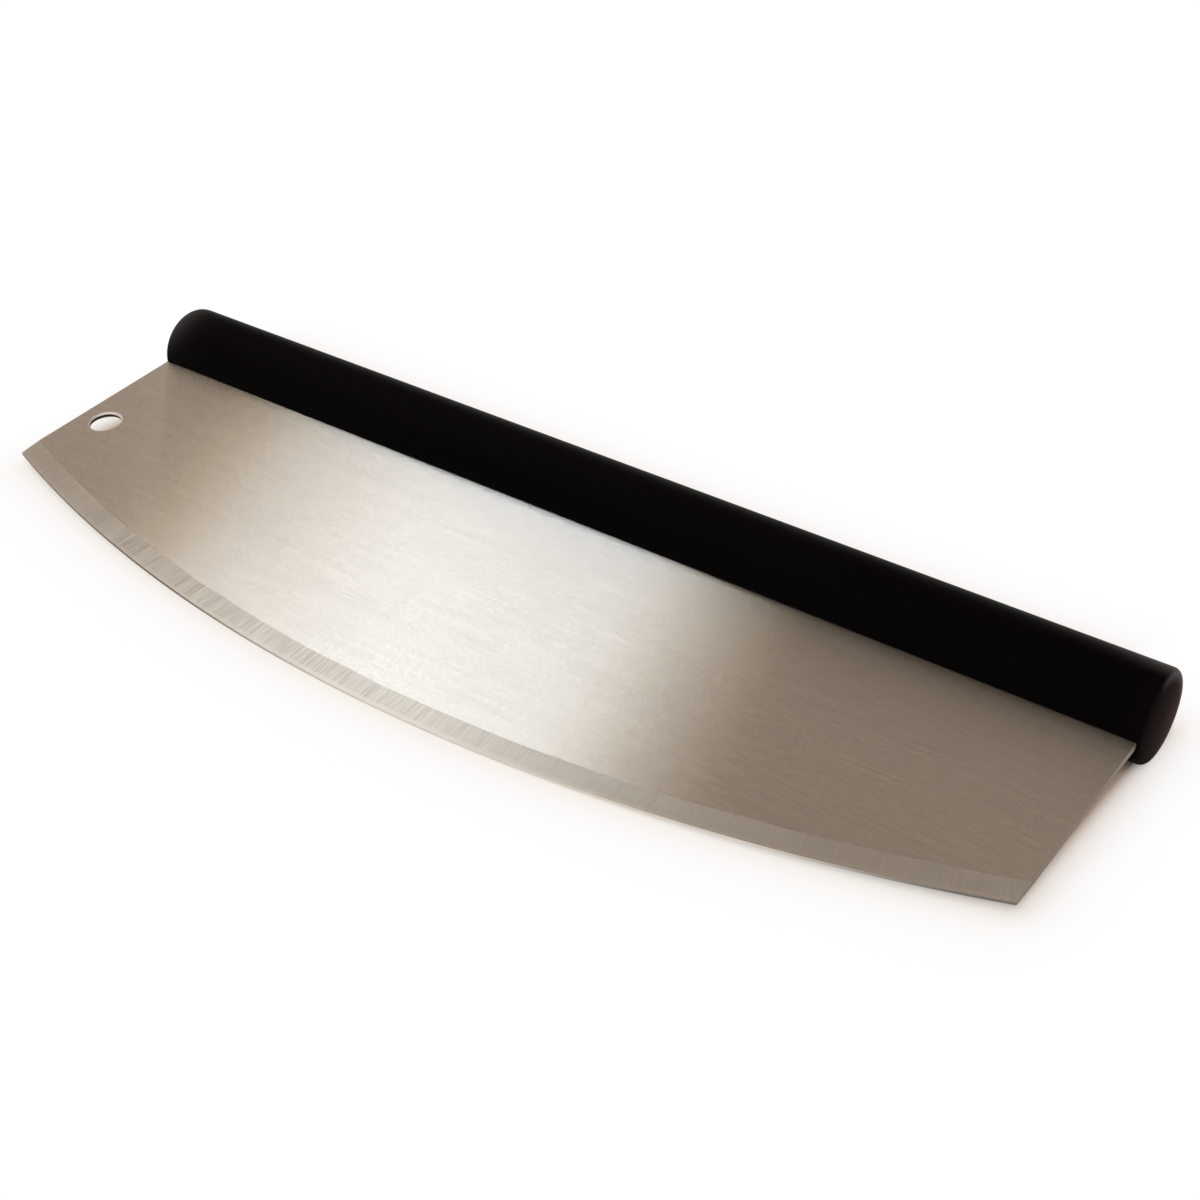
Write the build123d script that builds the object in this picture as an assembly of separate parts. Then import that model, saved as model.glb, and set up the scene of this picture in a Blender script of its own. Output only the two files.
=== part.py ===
from build123d import *

import math
import os

# A rocking pizza knife: one long blade with a curved edge, held along its back in a round bar handle.
#
# Sizes are in millimetres and angles in degrees. Each piece is built in the knife's own position, where
# X runs along the handle's axis, the cutting edge is toward -Y and the blade's faces look along +Z and -Z.
# At the end the whole knife is laid down on its side, as it lies on a table: it touches the table along
# the handle's underside and at the deepest point of the edge. There +Z is up, the edge is toward -Y, and
# the origin is the centre of the underside of the knife's box.

# The grip as a whole
grip_length = 350.0
grip_diameter = 26.4
end_round = 2.0

# The blade
blade_thickness = 2.0
blade_setback = 1.25
edge_drop = 105.9
edge_belly = 29.6

# The grinds along the edge, on both faces alike
bevel_width = 6.9
final_grind_width = 1.2
final_grind_angle = 5.0
edge_land = 0.9

# The hole that the knife hangs by
hole_diameter = 10.0
hole_inset = 10.0
hole_drop = 50.0
hole_chamfer = 0.6

# The outer sleeve of the grip and its slot
sleeve_wall = 3.5
sleeve_fit = 0.05
slot_clearance = 0.1

# The two halves of the core and the tang between them
tang_cover = 2.6
tang_end_gap = 0.4
tang_corner = 3.0
shoulder_gap = 0.15
shoulder_corner = 1.5

# The rivets through core and tang
rivet_count = 5
rivet_diameter = 4.0
rivet_fit = 0.1
rivet_end_distance = 23.0
rivet_head_diameter = 8.0
rivet_head_height = 1.0
rivet_head_fit = 0.2
rivet_head_depth = 0.1
rivet_head_round = 0.3

# The moulded caps at the two ends
cap_rim = 4.0
cap_spigot_length = 8.0
cap_spigot_wall = 2.2
cap_face = 2.5
gate_diameter = 3.0
gate_depth = 0.4
cap_lead_in = 0.6

# How far a cutting shape runs past what it cuts
overrun = 5.0

# Places that follow from the sizes above
grip_radius = grip_diameter / 2
grip_end = grip_length / 2
bore_radius = grip_radius - sleeve_wall
core_radius = bore_radius - sleeve_fit
cap_seat = grip_end - cap_rim
core_end = cap_seat - cap_spigot_length
blade_end = grip_end - blade_setback
blade_face = blade_thickness / 2
tip_drop = edge_drop - edge_belly
edge_radius = (blade_end**2 + edge_belly**2) / (2 * edge_belly)
edge_centre_y = edge_radius - edge_drop
tang_top = core_radius - tang_cover
tang_end = core_end - tang_end_gap
shoulder_top = -(core_radius + shoulder_gap)
land_half = edge_land / 2
final_grind_half = land_half + final_grind_width * math.tan(math.radians(final_grind_angle))
hole_x = hole_inset - blade_end
rivet_radius = rivet_diameter / 2
rivet_head_radius = rivet_head_diameter / 2
rivet_pocket_radius = rivet_head_radius + rivet_head_fit
rivet_pocket_reach = math.sqrt(core_radius**2 - rivet_pocket_radius**2)
rivet_seat = rivet_pocket_reach - rivet_head_depth - rivet_head_height
rivet_last = core_end - rivet_end_distance
rivet_pitch = 2 * rivet_last / (rivet_count - 1)

# The lie on the table: the land's lower corner and the handle's underside are at one level
lie_angle = math.degrees(
    math.asin(grip_radius / math.hypot(edge_drop, land_half)) - math.atan(land_half / edge_drop)
)
edge_reach = edge_drop * math.cos(math.radians(lie_angle)) + land_half * math.sin(math.radians(lie_angle))
lie_shift = (edge_reach - grip_radius) / 2


def rod(radius, start, end):
    """A round bar on the handle's axis, between two places along X."""
    return Pos((start + end) / 2, 0, 0) * Rot(0, 90, 0) * Cylinder(radius, end - start)


def pin(radius, bottom, top, x=0.0, y=0.0):
    """A round bar square to the blade, between two heights."""
    return Pos(x, y, (bottom + top) / 2) * Cylinder(radius, top - bottom)


def block(low, high):
    """A block between its lowest and its highest corner."""
    size = [b - a for a, b in zip(low, high)]
    middle = [(a + b) / 2 for a, b in zip(low, high)]
    return Pos(*middle) * Box(*size)


def rivet_places():
    """The places of the rivets along the handle's axis, from left to right."""
    return [-rivet_last + number * rivet_pitch for number in range(rivet_count)]


def blade_outline():
    """The blade with its tang, seen from the front: straight ends, an arc for the edge, a shouldered tang."""
    left_tip = (-blade_end, -tip_drop)
    right_tip = (blade_end, -tip_drop)
    edge = ThreePointArc(left_tip, (0, -edge_drop), right_tip)
    back = Polyline(
        right_tip,
        (blade_end, shoulder_top),
        (tang_end, shoulder_top),
        (tang_end, tang_top),
        (-tang_end, tang_top),
        (-tang_end, shoulder_top),
        (-blade_end, shoulder_top),
        left_tip,
    )
    outline = make_face([*edge.edges(), *back.edges()])
    corners = outline.vertices()
    top_corners = [v for v in corners if math.isclose(v.Y, tang_top, abs_tol=shoulder_gap)]
    outline = fillet(top_corners, tang_corner)
    inner_corners = [
        v
        for v in outline.vertices()
        if math.isclose(v.Y, shoulder_top, abs_tol=shoulder_gap)
        and math.isclose(abs(v.X), tang_end, abs_tol=shoulder_gap)
    ]
    return fillet(inner_corners, shoulder_corner)


def edge_grind():
    """The ring of metal that the grinding takes off the upper face, as a turned shape about the edge's centre."""
    profile = Polyline(
        (edge_radius - bevel_width, 0, blade_face),
        (edge_radius - final_grind_width, 0, final_grind_half),
        (edge_radius, 0, land_half),
        (edge_radius + overrun, 0, land_half),
        (edge_radius + overrun, 0, blade_face + overrun),
        (edge_radius - bevel_width, 0, blade_face + overrun),
        close=True,
    )
    ring = revolve(make_face(profile.edges()), Axis.Z)
    return Pos(0, edge_centre_y, 0) * ring


def hanging_hole():
    """The hanging hole as a cutter, with its countersink on both faces."""
    radius = hole_diameter / 2
    cutter = pin(radius, -blade_face - overrun, blade_face + overrun, hole_x, -hole_drop)
    sink = Cone(radius, radius + hole_chamfer, hole_chamfer)
    sink_middle = blade_face - hole_chamfer / 2
    cutter += Pos(hole_x, -hole_drop, sink_middle) * sink
    cutter += Pos(hole_x, -hole_drop, -sink_middle) * Rot(180, 0, 0) * sink
    return cutter


def make_blade():
    """The steel blade, one plate with the tang: ground along the edge, drilled for hanging and riveting."""
    plate = extrude(blade_outline(), amount=blade_face, both=True)
    grind = edge_grind()
    plate -= grind
    plate -= mirror(grind, about=Plane.XY)
    plate -= hanging_hole()
    for x in rivet_places():
        plate -= pin(rivet_radius + rivet_fit, -blade_face - overrun, blade_face + overrun, x)
    return plate


def make_sleeve():
    """The black outer tube of the grip, slotted from end to end along its underside for the blade."""
    tube = rod(grip_radius, -cap_seat, cap_seat)
    tube -= rod(bore_radius, -cap_seat - overrun, cap_seat + overrun)
    slot_half = blade_face + slot_clearance
    tube -= block(
        (-cap_seat - overrun, -grip_radius - overrun, -slot_half),
        (cap_seat + overrun, 0, slot_half),
    )
    return tube


def make_core_half():
    """The front half of the core, a half-round bar that lies flat on the tang, with pockets for the rivets."""
    bar = rod(core_radius, -core_end, core_end)
    bar -= block(
        (-core_end - overrun, -core_radius - overrun, -core_radius - overrun),
        (core_end + overrun, core_radius + overrun, blade_face),
    )
    for x in rivet_places():
        bar -= pin(rivet_radius + rivet_fit, 0, core_radius + overrun, x)
        bar -= pin(rivet_pocket_radius, rivet_seat, core_radius + overrun, x)
    return bar


def make_rivet(x):
    """One rivet: a shank through both core halves and the tang, and a low round head at each end."""
    shank = pin(rivet_radius, -rivet_seat, rivet_seat, x)
    head = pin(rivet_head_radius, rivet_seat, rivet_seat + rivet_head_height, x)
    head = fillet(head.edges().sort_by(Axis.Z)[-1], rivet_head_round)
    return shank + head + mirror(head, about=Plane.XY)


def make_end_cap():
    """The right end cap: a round-edged disc on a hollow spigot, with a notch for the blade's end."""
    disc = rod(grip_radius, cap_seat, grip_end)
    disc = fillet(disc.edges().sort_by(Axis.X)[-1], end_round)
    spigot = rod(core_radius, core_end, cap_seat)
    spigot = chamfer(spigot.edges().sort_by(Axis.X)[0], cap_lead_in)
    cap = disc + spigot
    cap -= rod(core_radius - cap_spigot_wall, core_end - overrun, grip_end - cap_face)
    cap -= rod(gate_diameter / 2, grip_end - gate_depth, grip_end + overrun)
    slot_half = blade_face + slot_clearance
    cap -= block(
        (cap_seat - overrun, -grip_radius - overrun, -slot_half),
        (blade_end + slot_clearance, -core_radius, slot_half),
    )
    return cap


def lay_down(piece):
    """A piece moved from the knife's own position to where it is when the knife lies on a table."""
    return Pos(0, lie_shift, grip_radius) * Rot(lie_angle, 0, 0) * piece


def all_pieces():
    """Every piece of the knife by name, in the knife's own position."""
    core_front = make_core_half()
    cap_right = make_end_cap()
    pieces = {
        "blade": make_blade(),
        "grip_sleeve": make_sleeve(),
        "core_front": core_front,
        "core_back": mirror(core_front, about=Plane.XY),
        "end_cap_left": mirror(cap_right, about=Plane.YZ),
        "end_cap_right": cap_right,
    }
    for number, x in enumerate(rivet_places(), start=1):
        pieces[f"tang_rivet_{number}"] = make_rivet(x)
    return pieces


os.makedirs("parts", exist_ok=True)
for name, piece in all_pieces().items():
    laid = lay_down(piece)
    laid.label = name
    export_step(laid, f"parts/{name}.step")
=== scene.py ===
"""Looks for the rocking pizza knife.

A brushed steel blade in a black bar handle lies on its side on a pale studio floor.
"""

import sys

import logging
import math
from abc import ABC, abstractmethod
from dataclasses import dataclass, replace
from enum import Enum
from typing import Any, Iterable, Sequence, Union

import bmesh
import bpy
from mathutils import Matrix, Quaternion, Vector

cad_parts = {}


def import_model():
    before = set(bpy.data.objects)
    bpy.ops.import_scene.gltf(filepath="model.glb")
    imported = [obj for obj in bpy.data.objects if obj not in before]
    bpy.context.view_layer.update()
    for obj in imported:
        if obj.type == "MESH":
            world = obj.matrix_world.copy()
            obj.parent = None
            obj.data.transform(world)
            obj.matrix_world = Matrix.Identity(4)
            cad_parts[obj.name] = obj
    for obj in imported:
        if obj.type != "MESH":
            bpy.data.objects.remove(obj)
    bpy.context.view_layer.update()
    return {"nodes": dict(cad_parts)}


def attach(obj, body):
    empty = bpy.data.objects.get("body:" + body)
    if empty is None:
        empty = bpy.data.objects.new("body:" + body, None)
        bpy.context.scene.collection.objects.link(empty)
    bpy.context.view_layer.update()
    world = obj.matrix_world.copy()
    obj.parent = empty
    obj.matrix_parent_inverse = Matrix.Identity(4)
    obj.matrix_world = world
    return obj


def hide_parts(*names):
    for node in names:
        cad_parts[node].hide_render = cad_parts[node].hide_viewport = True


log = logging.getLogger("pizza_knife")

MM = 0.001

# The knife's driving sizes, in millimetres
GRIP_RADIUS = 13.2
GRIP_END = 175.0
CAP_SEAT = 171.0
SLOT_HALF = 1.1
EDGE_DROP = 105.9
LAND_HALF = 0.45

# How finely the handle's round pieces are made, and the smallest angle that stays sharp on them
GRIP_SEGMENTS = 192
GRIP_SHARP = 25.0

# What all the noise patterns share
NOISE_MIDDLE = 0.5
NOISE_ROUGHNESS = 0.6
SEED_SHIFT = (1.0, 1.7, 2.3)

WHITE = (1.0, 1.0, 1.0)

Colour = tuple[float, float, float]
Point2 = tuple[float, float]
Point3 = tuple[float, float, float]
Term = Union["Wire", float, Sequence[float]]


class Side(Enum):
    """The two ends of the knife, as the names of pieces give them."""

    LEFT = "left"
    RIGHT = "right"


class BladeZone(Enum):
    """The differently finished zones of the blade, numbered as its material slots."""

    FLAT = 0
    BEVEL = 1
    FINAL_GRIND = 2
    LAND = 3
    CUT_EDGE = 4
    HOLE = 5
    COUNTERSINK = 6


class Socket(Enum):
    """The shader sockets that may carry a value that changes over the surface."""

    BASE_COLOUR = "Base Color"
    ROUGHNESS = "Roughness"
    NORMAL = "Normal"


# Shader expressions


@dataclass(frozen=True, eq=False)
class Wire:
    """One output of a shader node, which can be used in Python expressions."""

    graph: "ShaderGraph"
    socket: bpy.types.NodeSocket

    @property
    def is_vector(self) -> bool:
        """Whether the output carries a vector or a colour."""
        return self.socket.type in ("VECTOR", "RGBA")

    def __add__(self, other: Term) -> "Wire":
        """Adds another term."""
        return self.graph.combine("ADD", self, other)

    def __radd__(self, other: Term) -> "Wire":
        """Adds this wire to another term."""
        return self.graph.combine("ADD", other, self)

    def __sub__(self, other: Term) -> "Wire":
        """Takes another term away."""
        return self.graph.combine("SUBTRACT", self, other)

    def __rsub__(self, other: Term) -> "Wire":
        """Takes this wire away from another term."""
        return self.graph.combine("SUBTRACT", other, self)

    def __mul__(self, other: Term) -> "Wire":
        """Multiplies by another term."""
        return self.graph.combine("MULTIPLY", self, other)

    def __rmul__(self, other: Term) -> "Wire":
        """Multiplies another term by this wire."""
        return self.graph.combine("MULTIPLY", other, self)

    def __truediv__(self, other: Term) -> "Wire":
        """Divides by another term."""
        return self.graph.combine("DIVIDE", self, other)

    def __rtruediv__(self, other: Term) -> "Wire":
        """Divides another term by this wire."""
        return self.graph.combine("DIVIDE", other, self)


@dataclass(frozen=True)
class Grain:
    """Soft noise: its length along each axis in millimetres, its finer layers and its own shift."""

    size: Point3
    detail: float
    seed: float


class ShaderGraph:
    """A node tree that is written as expressions."""

    def __init__(self, tree: bpy.types.NodeTree) -> None:
        """Takes over the node tree of a material or of the world, and empties it."""
        self.tree = tree
        tree.nodes.clear()

    def node(
        self,
        kind: str,
        settings: dict[str, Any] | None = None,
        sockets: dict[str | int, Term] | None = None,
    ) -> bpy.types.Node:
        """Adds a node.

        Args:
            kind: The node's type.
            settings: Its own settings, such as a Math node's operation, which are set first.
            sockets: Values or wires for its inputs, by name or number.

        Returns:
            The new node.
        """
        made = self.tree.nodes.new(kind)
        for name, value in (settings or {}).items():
            setattr(made, name, value)
        for name, value in (sockets or {}).items():
            if isinstance(value, Wire):
                self.tree.links.new(value.socket, made.inputs[name])
            else:
                made.inputs[name].default_value = value
        return made

    def wire(
        self,
        kind: str,
        settings: dict[str, Any] | None = None,
        sockets: dict[str | int, Term] | None = None,
        output: str | int = 0,
    ) -> Wire:
        """Adds a node and gives one of its outputs, by name or number."""
        return Wire(self, self.node(kind, settings, sockets).outputs[output])

    def combine(self, operation: str, left: Term, right: Term) -> Wire:
        """Adds the Math or Vector Math node for two terms.

        Args:
            operation: The node's operation.
            left: The first term.
            right: The second term.

        Returns:
            The result: a vector if either term is one.
        """
        vectors = [self._is_vector(term) for term in (left, right)]
        if all(vectors) or not any(vectors):
            kind = "ShaderNodeVectorMath" if all(vectors) else "ShaderNodeMath"
            return self.wire(kind, {"operation": operation}, {0: left, 1: right})
        if operation != "MULTIPLY":
            raise ValueError("a vector and a value can only be multiplied")
        vector, value = (left, right) if vectors[0] else (right, left)
        sockets = {"Vector": vector, "Scale": value}
        return self.wire("ShaderNodeVectorMath", {"operation": "SCALE"}, sockets)

    @staticmethod
    def _is_vector(term: Term) -> bool:
        """Whether a term is a vector or a colour."""
        if isinstance(term, Wire):
            return term.is_vector
        return not isinstance(term, (int, float))

    def math(self, operation: str, *terms: Term) -> Wire:
        """Adds a Math node with an operation that has no Python sign, for its terms in order."""
        return self.wire("ShaderNodeMath", {"operation": operation}, dict(enumerate(terms)))

    def place(self) -> Wire:
        """The point on the surface in the knife's own coordinates, in millimetres."""
        coordinate = self.wire("ShaderNodeTexCoord", output="Object")
        return coordinate * (1 / MM)

    def split(self, vector: Wire) -> tuple[Wire, Wire, Wire]:
        """Gives the x, y and z of a vector."""
        parts = self.node("ShaderNodeSeparateXYZ", None, {0: vector}).outputs
        return Wire(self, parts[0]), Wire(self, parts[1]), Wire(self, parts[2])

    def join(self, x: Term, y: Term, z: Term) -> Wire:
        """Makes a vector of three values."""
        return self.wire("ShaderNodeCombineXYZ", None, {0: x, 1: y, 2: z})

    def grey(self, value: Wire) -> Wire:
        """Makes a vector or a colour whose three parts are the same value."""
        return self.join(value, value, value)

    def noise(self, place: Wire, grain: Grain) -> Wire:
        """Makes soft noise.

        Args:
            place: The coordinates, in millimetres.
            grain: The noise's grain.

        Returns:
            The noise, from 0 to 1 about its middle.
        """
        shift = tuple(grain.seed * part for part in SEED_SHIFT)
        stretched = place * tuple(1 / part for part in grain.size) + shift
        sockets = {"Vector": stretched, "Scale": 1.0}
        sockets |= {"Detail": grain.detail, "Roughness": NOISE_ROUGHNESS}
        return self.wire("ShaderNodeTexNoise", {"noise_dimensions": "3D"}, sockets)

    def swing(self, noise: Wire, size: float = 1.0) -> Wire:
        """Centres noise on 0, from which it then goes up and down by a size."""
        return (noise - NOISE_MIDDLE) * (2 * size)

    def ramp(self, value: Wire, start: float, end: float, kind: str = "LINEAR") -> Wire:
        """Makes a value that leaves 0 where another passes start, and stays at 1 from end on."""
        limits = {"Value": value, "From Min": start, "From Max": end}
        return self.wire("ShaderNodeMapRange", {"interpolation_type": kind, "clamp": True}, limits)

    def mix_colours(self, factor: Term, low: Term, high: Term) -> Wire:
        """Blends two colours.

        Args:
            factor: 0 for the first colour and 1 for the second.
            low: The first colour.
            high: The second colour.

        Returns:
            The blend.
        """
        low, high = (term if isinstance(term, Wire) else (*term, 1.0) for term in (low, high))
        settings = {"data_type": "RGBA", "clamp_factor": True}
        return self.wire("ShaderNodeMix", settings, {0: factor, 6: low, 7: high}, output=2)

    def tilted_normal(self, lean: Wire) -> Wire:
        """Leans the surface normal.

        Args:
            lean: How far it leans along each of the knife's own axes, as slopes.

        Returns:
            The leaning normal.
        """
        settings = {"vector_type": "VECTOR", "convert_from": "OBJECT", "convert_to": "WORLD"}
        turned = self.wire("ShaderNodeVectorTransform", settings, {0: lean})
        normal = self.wire("ShaderNodeNewGeometry", output="Normal")
        return self.wire("ShaderNodeVectorMath", {"operation": "NORMALIZE"}, {0: normal + turned})

    def bump(self, height: Wire, depth: float) -> Wire:
        """Makes a bumped normal of a height pattern, whose 1 stands for a depth in millimetres."""
        sockets = {"Strength": 1.0, "Distance": depth * MM, "Height": height}
        return self.wire("ShaderNodeBump", None, sockets)

    def end(self, surface: Wire, kind: str = "ShaderNodeOutputMaterial") -> None:
        """Feeds a surface to the tree's output."""
        self.node(kind, None, {"Surface": surface})


# Finishes


def new_material(name: str) -> tuple[bpy.types.Material, ShaderGraph]:
    """Makes a material whose graph is still empty.

    Args:
        name: The material's name.

    Returns:
        The material and its graph.
    """
    made = bpy.data.materials.new(name)
    made.use_nodes = True
    return made, ShaderGraph(made.node_tree)


def scaled(colour: Colour, share: float) -> Colour:
    """Multiplies each part of a colour by a share."""
    red, green, blue = colour
    return share * red, share * green, share * blue


@dataclass(frozen=True)
class Finish(ABC):
    """A surface finish. A value that is the same all over sits on the shader's own socket."""

    name: str

    @property
    def constants(self) -> dict[str, Any]:
        """The values of the shader's own sockets: bare metal's, unless a finish says otherwise."""
        return {"Metallic": 1.0}

    @abstractmethod
    def patterns(self, graph: ShaderGraph) -> dict[Socket, Wire]:
        """Makes what varies over the surface.

        Args:
            graph: The material's graph.

        Returns:
            The wire for each socket that it feeds.
        """

    def material(self) -> bpy.types.Material:
        """Makes the material, or gives it again if it is there already.

        Returns:
            The material.
        """
        made = bpy.data.materials.get(self.name)
        if made is not None:
            return made
        made, graph = new_material(self.name)
        sockets: dict[str | int, Term] = dict(self.constants)
        for socket, wire in self.patterns(graph).items():
            sockets[socket.value] = wire
        graph.end(graph.wire("ShaderNodeBsdfPrincipled", None, sockets))
        return made


@dataclass(frozen=True, kw_only=True)
class GroovedSteel(Finish):
    """Steel with grooves too fine to see, which fan its reflections out across them."""

    spread: float = 1.0
    groove_slope: float = 0.30
    groove_scales: Point2 = (1.0, 3.0)

    @property
    def constants(self) -> dict[str, Any]:
        """Metal whose reflections are longer across the grooves than along them."""
        return {"Metallic": 1.0, "Anisotropic": self.spread}

    def fan(self, graph: ShaderGraph, place: Wire) -> Wire:
        """Gives how far the side of a fine groove leans at each point.

        Args:
            graph: The material's graph.
            place: The place on the blade.

        Returns:
            The slope across the blade.
        """
        settings = {"noise_dimensions": "3D"}
        first, second = (
            graph.wire("ShaderNodeTexWhiteNoise", settings, {0: place * scale}, output="Value")
            for scale in self.groove_scales
        )
        return (first + second - 1.0) * self.groove_slope


@dataclass(frozen=True, kw_only=True)
class BrushedSteel(GroovedSteel):
    """Stainless steel brushed along the blade, with long lines in it."""

    colour: Colour = (0.72, 0.705, 0.675)
    colour_change: float = 0.28
    # Painted shade down the blade: darker towards the edge, lighter towards the handle
    painted_shade_slope: float = 0.0012
    painted_shade_middle: float = -45.0
    roughness: float = 0.190
    roughness_change: float = 0.015
    line_slope: float = 0.10
    groove_slope: float = 0.60
    broad: Grain = Grain((36.0, 1.0, 2.0), 2.0, 3.1)
    broad_share: float = 0.25
    fine: Grain = Grain((10.0, 0.45, 2.0), 2.0, 7.7)
    fine_share: float = 0.4
    grit: Grain = Grain((1.1, 0.6, 2.0), 1.0, 4.9)
    grit_share: float = 0.35
    cloud: Grain = Grain((70.0, 40.0, 9.0), 2.0, 1.3)
    cloud_share: float = 0.1
    calm_from: float = 40.0
    calm_to: float = 100.0
    calm_loss: float = 0.25

    def patterns(self, graph: ShaderGraph) -> dict[Socket, Wire]:
        """Long lines in the colour and roughness, fine ones that lean the normal, and painted shade down
        the blade.

        Args:
            graph: The material's graph.

        Returns:
            The wires for colour, roughness and normal.
        """
        place = graph.place()
        grains = (self.broad, self.fine, self.grit, self.cloud)
        broad, fine, grit, cloud = (graph.noise(place, grain) for grain in grains)
        along, height, _ = graph.split(place)
        calm = graph.ramp(along, self.calm_from, self.calm_to) * self.calm_loss
        mixed = broad * self.broad_share + fine * self.fine_share + grit * self.grit_share
        lines = graph.swing(mixed) * (1.0 - calm)
        # Painted shade: darker towards the edge, lighter towards the handle, evening out the lamp's
        # reflection
        painted_shade = (height - self.painted_shade_middle) * self.painted_shade_slope
        clouds = graph.swing(cloud, self.cloud_share * self.colour_change)
        shade = 1.0 + painted_shade + lines * self.colour_change + clouds
        slope = graph.swing(fine, self.line_slope) + self.fan(graph, place)
        return {
            Socket.BASE_COLOUR: graph.grey(shade) * self.colour,
            Socket.ROUGHNESS: self.roughness + lines * self.roughness_change,
            Socket.NORMAL: graph.tilted_normal(graph.join(0.0, slope, 0.0)),
        }


@dataclass(frozen=True, kw_only=True)
class GroundSteel(GroovedSteel):
    """Steel ground square to a curved edge, with marks that run across the edge."""

    edge_radius: float
    edge_centre: float
    lean: float = 0.22
    spread: float = 0.93
    colour: Colour = (0.660, 0.640, 0.594)
    colour_change: float = 0.40
    roughness: float = 0.42
    roughness_change: float = 0.015
    marks: Grain = Grain((0.65, 14.0, 6.0), 1.0, 5.3)
    marks_share: float = 0.7
    marks_slope: float = 0.025
    fine: Grain = Grain((0.16, 5.0, 6.0), 1.0, 2.9)
    fine_share: float = 0.3
    fine_slope: float = 0.05
    patches: Grain = Grain((16.0, 9.0, 6.0), 1.0, 8.8)
    patch_share: float = 0.2
    worn_middle: float = -25.0
    worn_from: float = 65.0
    worn_to: float = 105.0
    wear: float = 0.6

    def patterns(self, graph: ShaderGraph) -> dict[Socket, Wire]:
        """Marks spaced along the edge's arc, each as long as the ground band is wide.

        Args:
            graph: The material's graph.

        Returns:
            The wires for colour, roughness and normal.
        """
        x, y, z = graph.split(graph.place())
        out = self.edge_centre - y
        along = graph.math("ARCTAN2", x, out) * self.edge_radius
        across = graph.math("SQRT", x * x + out * out)
        place = graph.join(along, across, z)
        grains = (self.marks, self.fine, self.patches)
        marks, fine, patches = (graph.noise(place, grain) for grain in grains)
        toward_ends = graph.ramp(graph.math("ABSOLUTE", x - self.worn_middle), self.worn_from, self.worn_to)
        mixed = marks * self.marks_share + fine * self.fine_share
        lines = graph.swing(mixed) * (1.0 - toward_ends * self.wear)
        spots = graph.swing(patches, self.patch_share * self.colour_change)
        shade = 1.0 + lines * self.colour_change + spots
        slope = graph.swing(fine, self.fine_slope) + graph.swing(marks, self.marks_slope)
        grooves = self.fan(graph, place) + self.lean
        return {
            Socket.BASE_COLOUR: graph.grey(shade) * self.colour,
            Socket.ROUGHNESS: self.roughness + lines * self.roughness_change,
            Socket.NORMAL: graph.tilted_normal(graph.join(slope, grooves, 0.0)),
        }


@dataclass(frozen=True)
class CutSteel(Finish):
    """Steel as a cut or drilled wall leaves it: matt, with short marks through the thickness."""

    colour: Colour
    roughness: float
    roughness_change: float = 0.08
    marks: Grain = Grain((0.35, 0.35, 2.5), 2.0, 4.2)
    mark_depth: float = 0.01
    stain: Grain = Grain((6.0, 6.0, 1.0), 2.0, 6.1)
    stain_share: float = 0.82

    def patterns(self, graph: ShaderGraph) -> dict[Socket, Wire]:
        """Short marks and faint stains.

        Args:
            graph: The material's graph.

        Returns:
            The wires for colour, roughness and normal.
        """
        place = graph.place()
        marks = graph.noise(place, self.marks)
        stain = graph.noise(place, self.stain)
        stained = scaled(self.colour, self.stain_share)
        return {
            Socket.BASE_COLOUR: graph.mix_colours(stain, stained, self.colour),
            Socket.ROUGHNESS: self.roughness + graph.swing(marks, self.roughness_change),
            Socket.NORMAL: graph.bump(marks, self.mark_depth),
        }


@dataclass(frozen=True)
class HonedSteel(CutSteel):
    """The narrow land along the cutting edge, with painted shade towards both ends."""

    # Painted shade on the land's ends: a deep warm tint at the left, a darker share at the right
    dark_tint: Colour = (0.13, 0.065, 0.025)
    bright_from: float = -100.0
    bright_after: float = 10.0
    shade_from: float = 105.0
    shade_after: float = 165.0
    end_shade: float = 0.75

    def patterns(self, graph: ShaderGraph) -> dict[Socket, Wire]:
        """Paints shade on the ends: deep and warm at the left, lighter at the right.

        Args:
            graph: The material's graph.

        Returns:
            The wires for colour, roughness and normal.
        """
        made = super().patterns(graph)
        along, _, _ = graph.split(graph.place())
        # Painted shade: deep and warm towards the left end, lighter towards the right end
        bright = graph.ramp(along, self.bright_from, self.bright_after, "SMOOTHSTEP")
        end_shaded = graph.ramp(along, self.shade_from, self.shade_after, "SMOOTHSTEP")
        shade_tint = graph.mix_colours(bright, self.dark_tint, WHITE) * graph.grey(1.0 - end_shaded * self.end_shade)
        made[Socket.BASE_COLOUR] = made[Socket.BASE_COLOUR] * shade_tint
        return made


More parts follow.
